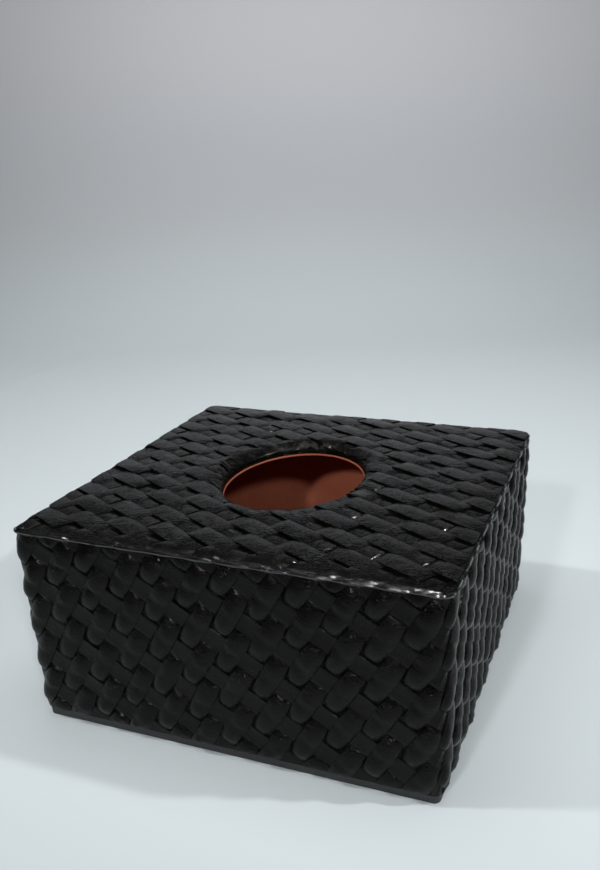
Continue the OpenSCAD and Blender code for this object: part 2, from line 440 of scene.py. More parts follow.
@shader_group("Fibres", {"Vector": ORIGIN, "Fibres per Metre": 2500.0, "Direction": (1.0, 1.0, 1.0)},
              "Height")
def fibre_group(graph: Graph, place: NodeSocket, density: NodeSocket, direction: NodeSocket) -> tuple:
    """Short fibres that lie mostly one way, as in grey board, wood and cloth tape.

    Args:
        graph: A Graph on the tree.
        place: The place on the object.
        density: Fibres on a metre.
        direction: Stretch along each axis.

    Returns:
        The fibres' height.
    """
    lines = graph.noise(graph.vector("MULTIPLY", place, direction), density, 3.0, 0.65)
    specks = graph.noise(place, graph.times(density, 0.35), 2.0, 0.5)
    return (graph.math("ADD", graph.times(lines, 0.7), graph.times(specks, 0.3)),)


# Finishes


def start_material(name: str) -> tuple[Material, Graph, Node, NodeSocket]:
    """Makes a material with its own Principled shader.

    Args:
        name: The material's name.

    Returns:
        The material, a Graph on its tree, the shader node and the place on the object.
    """
    material = bpy.data.materials.new(name)
    material.use_nodes = True
    graph = Graph(material.node_tree)
    place = graph.add("ShaderNodeTexCoord").outputs["Object"]
    return material, graph, material.node_tree.nodes["Principled BSDF"], place


@dataclass(frozen=True)
class Leatherette:
    """Coated cloth with a pressed grain, matt in its creases and smoother where hands rub it.

    A lifted sheet carries two numbers on its points: how high they lie, and how crumpled the
    sheet is there. Above crumpled_edge it is a folded edge, which has the bright coat.
    """

    name: str
    colour: Colour
    other_colour: Colour
    roughness: float = 0.42
    rubbed_roughness: float = 0.30
    specular: float = 0.5
    specular_tint: Colour = (1.0, 1.0, 1.0)
    grain: float = 1150.0
    grain_depth: float = 0.05
    wrinkle_depth: float = 0.06
    dust: float = 0.0
    dust_colour: Colour = (0.35, 0.36, 0.37)
    lifted: bool = False
    # Painted shade: the colour that the grain's creases are mixed towards
    crease_shade_colour: Colour = (0.004, 0.004, 0.004)
    crumple_depth: float = 5.5
    crumpled_edge: float = 1.05
    coat_roughness: float = 0.20

    def material(self) -> Material:
        """Builds the material.

        Returns:
            The material.
        """
        material, graph, shader, place = start_material(self.name)
        height, creases = graph.group(grain_group(), place, self.grain)
        tone, patches = graph.group(tone_group(), place, None, self.colour, self.other_colour)
        lift = graph.attribute("lift") if self.lifted else 0.6
        rub, = graph.group(rub_group(), place, lift, 1.0)
        dust, = graph.group(dust_group(), place, self.dust)
        # Painted shade: the grain's creases are mixed towards crease_shade_colour. On the woven finish,
        # whose colour is darker than that, the mix lightens them a little instead.
        crease_shaded = graph.mix(graph.times(creases, 0.45), tone, self.crease_shade_colour)
        rough = graph.span(rub, 0.0, 1.0, self.roughness, self.rubbed_roughness, "LINEAR")
        matt = graph.math("ADD", rough, graph.times(creases, 0.12))
        uneven = graph.times(graph.math("SUBTRACT", patches, 0.5), 0.08)
        wrinkles = None
        if self.lifted:
            crumple = graph.attribute("crumple")
            graph.fill(shader, {"Coat Weight": graph.span(crumple, self.crumpled_edge, FOLDED),
                                "Coat Roughness": self.coat_roughness})
            height = graph.math("MULTIPLY_ADD", graph.noise(place, 0.75 * self.grain, 1.0),
                                graph.times(crumple, self.crumple_depth), height)
            strip = graph.add("ShaderNodeUVMap", uv_map="strip").outputs[0]
            wrinkles = graph.bump(graph.group(wrinkle_group(), strip)[0], self.wrinkle_depth)
        graph.fill(shader, {
            "Base Color": graph.mix(dust, crease_shaded, self.dust_colour),
            "Roughness": graph.math("ADD", matt, uneven, clamp=True),
            "Specular IOR Level": self.specular, "Specular Tint": self.specular_tint,
            "Normal": graph.bump(height, self.grain_depth, wrinkles)})
        return material


@dataclass(frozen=True)
class Fibrous:
    """Lining, grey board, wood or cloth tape: matt, with fine fibres and uneven tone."""

    name: str
    colour: Colour
    other_colour: Colour
    roughness: float = 0.8
    fibres: float = 2500.0
    direction: Place = (1.0, 1.0, 1.0)
    depth: float = 0.08
    tone_scale: float = 40.0

    def material(self) -> Material:
        """Builds the material.

        Returns:
            The material.
        """
        material, graph, shader, place = start_material(self.name)
        fibres, = graph.group(fibre_group(), place, self.fibres, self.direction)
        tone, _ = graph.group(tone_group(), place, self.tone_scale, self.colour, self.other_colour)
        shade = graph.span(fibres, 0.3, 0.7, 0.25, 0.0)
        dark = tuple(0.45 * c for c in self.other_colour)
        graph.fill(shader, {
            "Base Color": graph.mix(shade, tone, dark), "Specular IOR Level": 0.3,
            "Roughness": graph.span(fibres, 0.2, 0.8, self.roughness + 0.1, self.roughness - 0.06,
                                    "LINEAR"),
            "Normal": graph.bump(fibres, self.depth)})
        return material


@dataclass(frozen=True)
class TurnedMetal:
    """Small metal disc with turning marks and dull spots."""

    name: str
    colour: Colour
    roughness: float
    marks: float = 3000.0
    mark_depth: float = 0.01
    tone_scale: float = 160.0

    def material(self) -> Material:
        """Builds the material.

        Returns:
            The material.
        """
        material, graph, shader, place = start_material(self.name)
        marks, = graph.group(fibre_group(), place, self.marks, (0.1, 1.0, 0.3))
        dull = tuple(0.7 * c for c in self.colour)
        tone, _ = graph.group(tone_group(), place, self.tone_scale, self.colour, dull)
        graph.fill(shader, {
            "Base Color": tone, "Metallic": 1.0,
            "Roughness": graph.span(marks, 0.25, 0.75, self.roughness - 0.08, self.roughness + 0.12,
                                    "LINEAR"),
            "Normal": graph.bump(marks, self.mark_depth)})
        return material


# Geometry Nodes trees


def geometry_tree(name: str, inputs: dict[str, object]) -> tuple[Graph, dict[str, NodeSocket]]:
    """Starts a Geometry Nodes tree with named inputs after its geometry.

    Args:
        name: The tree's name.
        inputs: The defaults of its inputs, by their names.

    Returns:
        A Graph on the tree, and the sockets of its inputs by their names.
    """
    tree = bpy.data.node_groups.new(name, "GeometryNodeTree")
    tree.is_modifier = True
    shape = {"Geometry": "NodeSocketGeometry"}
    add_sockets(tree, "INPUT", {**shape, **inputs, "Material": "NodeSocketMaterial"})
    add_sockets(tree, "OUTPUT", shape)
    graph = Graph(tree)
    return graph, {socket.name: socket for socket in graph.add("NodeGroupInput").outputs}


def finish_tree(graph: Graph, geometry: NodeSocket, material: NodeSocket) -> NodeTree:
    """Ends a tree in Realize Instances and Set Material, and returns it.

    Args:
        graph: A Graph on the tree.
        geometry: What the tree made.
        material: The finish.

    Returns:
        The tree.
    """
    real = graph.add("GeometryNodeRealizeInstances", {0: geometry})
    dressed = graph.add("GeometryNodeSetMaterial", {"Geometry": real.outputs[0], "Material": material})
    graph.add("NodeGroupOutput", {0: dressed.outputs[0]})
    return graph.tree


def lattice_tree() -> NodeTree:
    """Sets copies of one piece of strip on the staggered lattice of the weave.

    Each copy is turned to the strips' lean, and its height and turn vary a little. Its number
    is kept as an attribute.

    Returns:
        The tree.
    """
    graph, get = geometry_tree("Strips on their lattice", {
        "Columns": 10, "Rows": 5, "First Run": 0.0, "First Rise": 0.0, "Column Pitch": 13.0,
        "Row Pitch": 15.0, "Lean": 0.5, "Lean Spread": 0.02, "Height Spread": 0.1, "Seed": 1})
    index = graph.add("GeometryNodeInputIndex").outputs[0]
    column = graph.math("FLOOR", graph.math("DIVIDE", index, get["Rows"]))
    row = graph.math("SUBTRACT", index, graph.times(column, get["Rows"]))
    stagger = graph.times(graph.math("MODULO", column, 2.0), 0.5)
    run = graph.math("MULTIPLY_ADD", column, get["Column Pitch"], get["First Run"])
    rise = graph.math("MULTIPLY_ADD", graph.math("ADD", row, stagger), get["Row Pitch"], get["First Rise"])
    points = graph.add("GeometryNodePoints", {"Count": graph.times(get["Columns"], get["Rows"]),
                                              "Position": graph.combine(run, rise)})

    def spread(amount: NodeSocket, seed: float) -> NodeSocket:
        """A random number for each copy, between plus and minus an amount.

        Args:
            amount: The largest value.
            seed: Added to the tree's seed.

        Returns:
            The number.
        """
        node = graph.add("FunctionNodeRandomValue", data_type="FLOAT")
        sockets = [socket for socket in node.inputs if socket.enabled]
        for socket, value in zip(sockets, (graph.times(amount, -1.0), amount)):
            graph.put(socket, value)
        graph.put(node.inputs["Seed"], graph.math("ADD", get["Seed"], seed))
        return next(socket for socket in node.outputs if socket.enabled)

    lean = graph.math("SUBTRACT", spread(get["Lean Spread"], 0.0), get["Lean"])
    height = graph.math("ADD", spread(get["Height Spread"], 7.0), 1.0)
    copies = graph.add("GeometryNodeInstanceOnPoints", {
        "Points": points.outputs[0], "Instance": get["Geometry"],
        "Rotation": graph.combine(0.0, 0.0, lean), "Scale": graph.combine(1.0, 1.0, height)})
    numbered = graph.add("GeometryNodeStoreNamedAttribute",
                         {"Geometry": copies.outputs[0], "Name": "number"},
                         data_type="FLOAT", domain="INSTANCE")
    graph.put(next(s for s in numbered.inputs if s.name == "Value" and s.enabled), index)
    return finish_tree(graph, numbered.outputs[0], get["Material"])


def bead_tree() -> NodeTree:
    """Makes a folded edge along a path: a round bead, pinched where strips pass under it.

    Returns:
        The tree.
    """
    graph, get = geometry_tree("Folded edge along a path", {
        "Radius": 0.8, "Pinch": 0.1, "Pinch Pitch": 13.0, "Wrinkle": 0.1, "Step": 0.8, "Sides": 8,
        "Seed": 3.0})
    curve = graph.add("GeometryNodeMeshToCurve", {"Mesh": get["Geometry"]}).outputs[0]
    even = graph.add("GeometryNodeResampleCurve", {"Curve": curve, "Length": get["Step"]}, mode="LENGTH")
    run = graph.add("GeometryNodeSplineParameter").outputs["Length"]
    phase = graph.math("DIVIDE", graph.times(run, 2 * math.pi), get["Pinch Pitch"])
    swell = graph.math("MULTIPLY_ADD", graph.math("COSINE", phase), get["Pinch"], 1.0)
    thick = graph.add("GeometryNodeSetCurveRadius", {"Curve": even.outputs[0], "Radius": swell})
    ring = graph.add("GeometryNodeCurvePrimitiveCircle", {"Resolution": get["Sides"],
                                                          "Radius": get["Radius"]}, mode="RADIUS")
    tube = graph.add("GeometryNodeCurveToMesh", {"Curve": thick.outputs[0],
                                                 "Profile Curve": ring.outputs[0], "Fill Caps": True})
    if "Scale" in tube.inputs:
        graph.put(tube.inputs["Scale"], graph.add("GeometryNodeInputRadius").outputs[0])
    place = graph.add("GeometryNodeInputPosition").outputs[0]
    moved = graph.vector("ADD", place, graph.combine(get["Seed"], get["Seed"]))
    creases = graph.noise(moved, 0.42, 3.0, 0.6)
    push = graph.times(graph.math("SUBTRACT", creases, 0.5), graph.times(get["Wrinkle"], 2.0))
    creased = graph.add("GeometryNodeSetPosition", {
        "Geometry": tube.outputs[0],
        "Offset": graph.scaled(graph.add("GeometryNodeInputNormal").outputs[0], push)})
    return finish_tree(graph, creased.outputs[0], get["Material"])


def put_in_scene(name: str, data: bpy.types.ID) -> Object:
    """Makes an object of a mesh, lamp or camera and links it to the scene.

    Args:
        name: The object's name.
        data: What it shows.

    Returns:
        The object.
    """
    item = bpy.data.objects.new(name, data)
    bpy.context.scene.collection.objects.link(item)
    return item


def grow(name: str, seed_mesh: Mesh, tree: NodeTree, values: dict) -> Mesh:
    """Runs a Geometry Nodes tree on a mesh and keeps the result as a plain mesh.

    Args:
        name: The name of the new mesh.
        seed_mesh: What the tree starts from.
        tree: The tree to run.
        values: The tree's inputs, by their names.

    Returns:
        The plain mesh.
    """
    carrier = put_in_scene(name + "_grow", seed_mesh)
    modifier = carrier.modifiers.new("grow", "NODES")
    modifier.node_group = tree
    sockets = {item.name: item.identifier for item in tree.interface.items_tree
               if item.item_type == "SOCKET" and item.in_out == "INPUT"}
    for label, value in values.items():
        modifier[sockets[label]] = value
    graph = bpy.context.evaluated_depsgraph_get()
    result = bpy.data.meshes.new_from_object(carrier.evaluated_get(graph), preserve_all_data_layers=True,
                                             depsgraph=graph)
    result.name = name
    carrier.modifiers.remove(modifier)
    bpy.data.objects.remove(carrier)
    return result


# Mesh helpers


def mesh_from(name: str, points: np.ndarray | Sequence, faces: Sequence[Sequence[int]],
              edges: Sequence[tuple[int, int]] = ()) -> Mesh:
    """Makes a mesh from points and faces, or from points and edges.

    Args:
        name: The mesh's name.
        points: Its points.
        faces: Corner numbers of each face.
        edges: Corner numbers of each edge.

    Returns:
        The mesh.
    """
    mesh = bpy.data.meshes.new(name)
    mesh.from_pydata([tuple(float(c) for c in p) for p in points], edges, [list(f) for f in faces])
    mesh.update()
    return mesh


def grid_faces(count: int, across: int, closed_count: bool, closed_across: bool) -> list[list[int]]:
    """Faces between the points of a grid, which may close on itself either way.

    Args:
        count: Number of rings.
        across: Number of points in each ring.
        closed_count: The last ring joins the first.
        closed_across: Each ring is a loop.

    Returns:
        One list of four corner numbers for each face.
    """
    faces = []
    for i in range(count if closed_count else count - 1):
        for j in range(across if closed_across else across - 1):
            a, b = i * across, (i + 1) % count * across
            k = (j + 1) % across
            faces.append([a + j, b + j, b + k, a + k])
    return faces


def closed_tube(name: str, points: Sequence, around: int) -> Mesh:
    """Makes a tube with closed ends from its sections' points, one section after the other.

    Args:
        name: The mesh's name.
        points: The points.
        around: How many are in a section.

    Returns:
        The mesh.
    """
    faces = grid_faces(len(points) // around, around, False, True)
    numbers = list(range(len(points)))
    return mesh_from(name, points, faces + [numbers[:around], numbers[:-around - 1:-1]])


def coords(mesh: Mesh) -> np.ndarray:
    """The mesh's points as an array.

    Args:
        mesh: The mesh.

    Returns:
        One row for each point.
    """
    flat = np.empty(len(mesh.vertices) * 3)
    mesh.vertices.foreach_get("co", flat)
    return flat.reshape(-1, 3)


def set_coords(mesh: Mesh, points: np.ndarray) -> None:
    """Moves the mesh's points."""
    mesh.vertices.foreach_set("co", np.ascontiguousarray(points, dtype=np.float32).ravel())
    mesh.update()


def point_values(mesh: Mesh, name: str) -> np.ndarray:
    """A number for each point of the mesh, by the attribute's name.

    Args:
        mesh: The mesh.
        name: The attribute's name.

    Returns:
        One number for each point.
    """
    values = np.zeros(len(mesh.vertices), dtype=np.float32)
    mesh.attributes[name].data.foreach_get("value", values)
    return values.astype(float)


def keep_values(mesh: Mesh, name: str, values: np.ndarray) -> None:
    """Stores a number for each point of the mesh."""
    attribute = mesh.attributes.get(name) or mesh.attributes.new(name, "FLOAT", "POINT")
    attribute.data.foreach_set("value", np.asarray(values, dtype=np.float32))


@contextmanager
def edited(target: Mesh, sources: Sequence[Mesh] = ()) -> Iterator[bmesh.types.BMesh]:
    """Opens a mesh to edit it, or others to edit as one, and writes the result to that mesh.

    Args:
        target: The mesh that is written.
        sources: The meshes to open, if not the target.

    Yields:
        The opened mesh.
    """
    shape = bmesh.new()
    for mesh in sources or (target,):
        shape.from_mesh(mesh)
    yield shape
    shape.to_mesh(target)
    shape.free()


def bisect(shape: bmesh.types.BMesh, point: Sequence[float], away: Sequence[float], **how: object) -> None:
    """Cuts all of a shape along a plane."""
    bmesh.ops.bisect_plane(shape, geom=shape.verts[:] + shape.edges[:] + shape.faces[:], plane_co=point,
                           plane_no=away, **how)


def cut(mesh: Mesh, point: Sequence[float], away: Sequence[float]) -> None:
    """Cuts off what lies past a plane and closes the cut.

    Args:
        mesh: The mesh to cut, which is changed.
        point: A point of the plane.
        away: The direction in which everything is cut off.
    """
    with edited(mesh) as shape:
        bisect(shape, point, away, dist=1e-4, clear_outer=True)
        bmesh.ops.holes_fill(shape, edges=[e for e in shape.edges if e.is_boundary], sides=0)


def slice_up(mesh: Mesh, middle: float, reach: float, pitch: float) -> None:
    """Slices a mesh across X at even places, so that long faces can follow a bend.

    Args:
        mesh: The mesh.
        middle: X of the middle of the stretch.
        reach: Half its length.
        pitch: Distance from cut to cut.
    """
    with edited(mesh) as shape:
        for place in np.arange(middle - reach, middle + reach, pitch):
            bisect(shape, (place, 0, 0), (1, 0, 0), dist=1e-3)


def joined(name: str, meshes: Sequence[Mesh], finished: bool = True) -> Mesh:
    """Joins meshes into one, and points the faces of a finished one outwards.

    Args:
        name: The mesh's name.
        meshes: The meshes.
        finished: Merges double points and turns the faces outwards.

    Returns:
        The new mesh.
    """
    mesh = bpy.data.meshes.new(name)
    with edited(mesh, meshes) as shape:
        if finished:
            bmesh.ops.remove_doubles(shape, verts=shape.verts[:], dist=2e-6)
            bmesh.ops.recalc_face_normals(shape, faces=shape.faces[:])
    return mesh


def split(mesh: Mesh, masks: Sequence[np.ndarray]) -> list[Mesh]:
    """Copies of a mesh, each with the points that its mask keeps.

    Args:
        mesh: The mesh.
        masks: Which points each copy keeps.

    Returns:
        The copies.
    """
    parts = []
    for keep in masks:
        parts.append(bpy.data.meshes.new(mesh.name))
        with edited(parts[-1], (mesh,)) as shape:
            shape.verts.ensure_lookup_table()
            lost = [shape.verts[i] for i in np.flatnonzero(~keep)]
            bmesh.ops.delete(shape, geom=lost, context="VERTS")
    return parts


def show(name: str, mesh: Mesh, material: Material,
         crisp: float = 180.0) -> Object:
    """Puts a finished mesh into the scene as a piece at the origin, with its faces shaded smooth.

    Args:
        name: The piece's name.
        mesh: Its mesh, in metres and in place.
        material: Its finish.
        crisp: Edges that bend by more than this many degrees stay sharp.

    Returns:
        The new object.
    """
    mesh.name = name
    mesh.materials.clear()
    mesh.materials.append(material)
    mesh.polygons.foreach_set("material_index", np.zeros(len(mesh.polygons), dtype=np.int32))
    mesh.polygons.foreach_set("use_smooth", np.ones(len(mesh.polygons), dtype=bool))
    if crisp < 180:
        mesh.set_sharp_from_angle(angle=math.radians(crisp))
    return put_in_scene(name, mesh)


def smoothstep(value: np.ndarray | float, low: float, high: float) -> np.ndarray:
    """Goes smoothly from 0 at low to 1 at high."""
    t = np.clip((np.asarray(value, dtype=float) - low) / (high - low), 0, 1)
    return t * t * (3 - 2 * t)


def rounded_path(inset: float, corner: float, level: float, steps: int = 6) -> np.ndarray:
    """Points of a rounded square round the box, starting at the middle of the back.

    Args:
        inset: Distance from the outside of the weave.
        corner: Radius of its corners.
        level: Its height.
        steps: Number of steps round each corner.

    Returns:
        The points, in millimetres.
    """
    half = BOX.width / 2 - inset
    mid = half - corner
    points = [(0.0, half, level)]
    for cx, cy, turn in ((mid, mid, 90), (mid, -mid, 0), (-mid, -mid, -90), (-mid, mid, -180)):
        for k in range(steps + 1):
            a = math.radians(turn - 90 * k / steps)
            points.append((cx + corner * math.cos(a), cy + corner * math.sin(a), level))
    return np.array(points)


def sunk(path: np.ndarray, depth: float = 0.85) -> np.ndarray:
    """Sinks an edge's path between the strips, but for its stretch along the front.

    Args:
        path: Its points, in millimetres.
        depth: How far it sinks.

    Returns:
        The sunk path.
    """
    path = path.copy()
    path[:, 2] -= depth * smoothstep(path[:, 1], -74.5, -70.0)
    return path


@dataclass(frozen=True)
class Loom:
    """The node trees and the finish that the woven pieces share."""

    lattice: NodeTree
    bead: NodeTree
    material: Material

    def folded_edge(self, name: str, points: np.ndarray, closed: bool, sizes: tuple[float, ...],
                    seed: float) -> Mesh:
        """Makes a folded edge along a path.

        Args:
            name: The mesh's name.
            points: Its path, in millimetres.
            closed: The path's ends meet.
            sizes: Its radius, pinch, pinch pitch, wrinkles and step.
            seed: Sets its wrinkles.

        Returns:
            The edge, in millimetres.
        """
        count = len(points)
        edges = [(i, (i + 1) % count) for i in range(count if closed else count - 1)]
        values = dict(zip(("Radius", "Pinch", "Pinch Pitch", "Wrinkle", "Step"), sizes))
        return grow(name, mesh_from("path", points, [], edges), self.bead,
                    {**values, "Seed": seed, "Material": self.material})


# The strips of the weave


@dataclass(frozen=True)
class StripPiece:
    """One visible stretch of strip: a low cushion with a closed underside, lying along Y.

    The along shares are its place along, its width and its height, the across shares its place
    across and its height. Its copies differ by the spreads, which are standard deviations.
    """

    lay: Lay
    half_length: float
    half_width: float
    rise: float
    along_shares: tuple[tuple[float, float, float], ...]
    across_shares: tuple[tuple[float, float], ...]
    bed: float = 0.4
    height_spread: float = 0.25
    lean_spread: float = 0.022
    roll_spread: float = 0.014
    swell_spread: float = 0.0
    crease: float = 0.0
    crease_spread: float = 0.12
    crease_range: tuple[float, float] = (-0.10, 0.45)
    crease_width: float = 0.9
    crease_shift: float = 0.55
    crease_skew: float = 0.18

    def mesh(self) -> Mesh:
        """Builds the cushion, with each point's place along and across it as attributes.

        Returns:
            The mesh, in millimetres.
        """
        last_i, last_j = len(self.along_shares) - 1, len(self.across_shares) - 1
        points = []
        for i, (t, wide, high) in enumerate(self.along_shares):
            for j, (w, crown) in enumerate(self.across_shares):
                edge = i in (0, last_i) or j in (0, last_j)
                height = -self.bed if edge else self.rise * high * crown
                points.append((w * wide * self.half_width, t * self.half_length, height))
        numbers = np.arange(len(points)).reshape(last_i + 1, last_j + 1)
        rim = [*numbers[0], *numbers[1:, -1], *numbers[-1, -2::-1], *numbers[-2:0:-1, 0]]
        mesh = mesh_from(self.lay.value, points,
                         grid_faces(last_i + 1, last_j + 1, False, False) + [rim[::-1]])
        across, along, _ = np.array(points).T
        keep_values(mesh, "along", along)
        keep_values(mesh, "across", across)
        return mesh

    def unevenness(self, along: np.ndarray, across: np.ndarray, number: np.ndarray,
                   draws: np.random.Generator) -> np.ndarray:
        """How far each point lies over or under the plain shape of its copy.

        Args:
            along: Each point's place along its strip.
            across: Each point's place across it.
            number: The number of its copy.
            draws: Where the random values come from.

        Returns:
            The differences, in millimetres.
        """
        count = number.max() + 1
        puffs = self.lay is Lay.PUFF

        def each(middle: float, spread: float) -> np.ndarray:
            """One random value for each copy, given to all of its points."""
            return draws.normal(middle, spread, count)[number]

        if puffs:
            shift = each(0, self.crease_shift)
            depth = np.clip(each(self.crease, self.crease_spread), *self.crease_range)
            skew = each(0, self.crease_skew)
        lean, roll = each(0, self.lean_spread), each(0, self.roll_spread)
        tilt = lean * along + roll * across
        if not puffs:
            return tilt
        swell = draws.normal(0, self.swell_spread, (count, 2))
        inner = 1 - np.clip(np.abs(across) / self.half_width, 0, 1) ** 4
        crease = np.exp(-((along - shift - skew * across) / self.crease_width) ** 2) * (self.crease > 0)
        halves = np.where(along > 0, swell[number, 0], swell[number, 1])
        bulge = halves * np.sin(np.clip(np.abs(along) / self.half_length, 0, 1) * np.pi)
        return (bulge - depth * crease) * inner + tilt


def mirrored(shares: Sequence[tuple]) -> tuple[tuple, ...]:
    """Mirrors rows of shares about their first value, from the end with 1 to the end with -1.

    Args:
        shares: Rows from the end with 1 to the middle.

    Returns:
        All of the rows.
    """
    first = tuple((-row[0], *row[1:]) for row in shares if row[0] > 0)
    middle = tuple(row for row in shares if row[0] == 0)
    return first + middle + tuple(row for row in reversed(shares) if row[0] > 0)


SIDE_PUFF = StripPiece(
    lay=Lay.PUFF, half_length=9.4, half_width=4.2, rise=2.25,
    height_spread=0.10, lean_spread=0.016, roll_spread=0.035, swell_spread=0.10, crease=0.42,
    along_shares=((1.0, 0.68, 0.0), (0.95, 0.75, 0.17), (0.86, 0.82, 0.37), (0.74, 0.89, 0.55),
                  (0.50, 0.96, 0.77), (0.25, 1.0, 0.93), (0.10, 1.0, 1.02), (0.0, 1.0, 0.98),
                  (-0.14, 1.0, 0.97), (-0.36, 0.98, 1.07), (-0.58, 0.94, 1.02), (-0.74, 0.88, 0.84),
                  (-0.87, 0.80, 0.52), (-0.95, 0.68, 0.20), (-1.0, 0.54, 0.0)),
    across_shares=mirrored(((1.0, 0.0), (0.90, 0.30), (0.66, 0.62), (0.34, 0.89), (0.0, 1.0))))
TOP_PUFF = StripPiece(
    lay=Lay.PUFF, half_length=9.2, half_width=3.8, rise=1.70,
    height_spread=0.10, lean_spread=0.016, swell_spread=0.03,
    along_shares=mirrored(((1.0, 1.0, 0.0), (0.99, 1.0, 0.74), (0.88, 1.0, 0.86), (0.60, 1.0, 0.97),
                           (0.0, 1.0, 1.0))),
    across_shares=((-1.0, 0.0), (-0.985, 0.90), (-0.88, 0.97), (0.0, 0.99), (0.60, 1.0), (0.97, 0.95),
                   (1.0, 0.0)))
SIDE_FLAT = StripPiece(
    lay=Lay.FLAT, half_length=3.6, half_width=5.2, rise=0.60,
    along_shares=mirrored(((1.0, 1.0, 0.0), (0.96, 1.0, 0.70), (0.86, 1.0, 1.0), (0.60, 1.0, 0.84),
                           (0.0, 1.0, 0.80))),
    across_shares=mirrored(((1.0, 0.0), (0.94, 0.8), (0.0, 1.0))))
TOP_FLAT = StripPiece(
    lay=Lay.FLAT, half_length=3.6, half_width=5.4, rise=1.40,
    along_shares=mirrored(((1.0, 1.0, 0.0), (0.97, 1.0, 0.74), (0.88, 1.0, 1.0), (0.0, 1.0, 1.0))),
    across_shares=((-1.0, 0.0), (-0.90, 0.06), (-0.62, 0.12), (-0.50, 0.52), (-0.38, 0.90), (0.0, 1.0),
                   (0.45, 0.99), (0.90, 0.70), (1.0, 0.0)))


@dataclass(frozen=True)
class WovenField:
    """A flat sheet of the weave, as run, rise and height, before it is draped."""

    name: str
    columns: int
    rows: int
    first_column: int
    first_row: int
    flat: tuple[float, float]
    seed: int
    turn_spread: float = 0.025
    crumple_range: tuple[float, float] = (0.2, 1.0)

    def strips(self, piece: StripPiece, loom: Loom) -> Mesh:
        """Sets one kind of strip on its lattice and crumples each copy in its own way.

        Args:
            piece: The shape that is repeated.
            loom: What the woven pieces share.

        Returns:
            The strips, flat, in millimetres.
        """
        puffs = piece.lay is Lay.PUFF
        half, drop = (0.5, 0.25) if puffs else (0.0, 0.0)
        mesh = grow(f"{self.name}_{piece.lay.value}", piece.mesh(), loom.lattice, {
            "Columns": self.columns, "Rows": self.rows,
            "First Run": self.flat[0] + (self.first_column + half) * WEAVE.column,
            "First Rise": self.flat[1] + (self.first_row - drop) * WEAVE.row,
            "Column Pitch": WEAVE.column, "Row Pitch": WEAVE.row, "Lean": WEAVE.turn,
            "Lean Spread": self.turn_spread, "Height Spread": piece.height_spread,
            "Seed": self.seed + (0 if puffs else 50), "Material": loom.material})
        points = coords(mesh)
        along, across = point_values(mesh, "along"), point_values(mesh, "across")
        number = point_values(mesh, "number").astype(int)
        draws = np.random.default_rng(self.seed + (1 if puffs else 2))
        top = points[:, 2] > -0.5 * piece.bed
        change = piece.unevenness(along, across, number, draws)
        points[:, 2] += np.where(top, change, 0)
        keep_values(mesh, "lift", np.clip(points[:, 2] / SIDE_PUFF.rise, 0, 1.2))
        pressed = draws.uniform(*self.crumple_range, number.max() + 1)[number] * puffs
        keep_values(mesh, "crumple", pressed * smoothstep(along / piece.half_length, 0.10, 0.70))
        set_coords(mesh, points)
        return mesh


def strip_map(mesh: Mesh) -> None:
    """Lays the strips' own map: across and along, in centimetres, and at another place for each strip.

    Args:
        mesh: The mesh.
    """
    along, across = point_values(mesh, "along"), point_values(mesh, "across")
    number = point_values(mesh, "number")
    layer = mesh.uv_layers.get("strip") or mesh.uv_layers.new(name="strip")
    corners = np.empty(len(mesh.loops), dtype=np.int32)
    mesh.loops.foreach_get("vertex_index", corners)
    both = np.stack([across / 10 + number * 3.71, along / 10 + number * 7.31], 1)
    layer.data.foreach_set("uv", both[corners].astype(np.float32).ravel())


def woven_piece(name: str, strips: Sequence[Mesh], plain: Sequence[tuple[Mesh, float]],
                material: Material) -> Object:
    """Joins draped strips, their sheet and its folded edges into one piece.

    Args:
        name: The piece's name.
        strips: Strips, in millimetres, with their own attributes.
        plain: Sheets and folded edges, in millimetres, each with its lift.
        material: The finish.

    Returns:
        The piece.
    """
    for mesh, lift in plain:
        values = {"along": 0.0, "across": 0.0, "number": 0.0, "lift": lift,
                  "crumple": FOLDED if lift > 1 else 0.0}
        for label, value in values.items():
            keep_values(mesh, label, np.full(len(mesh.vertices), value))
    everything = list(strips) + [mesh for mesh, _ in plain]
    for mesh in everything:
        strip_map(mesh)
        set_coords(mesh, coords(mesh) * MM)
    whole = joined(name, everything)
    for extra in ("along", "across", "number"):
        whole.attributes.remove(whole.attributes[extra])
    return show(name, whole, material, crisp=32.0)


# Sub-assemblies


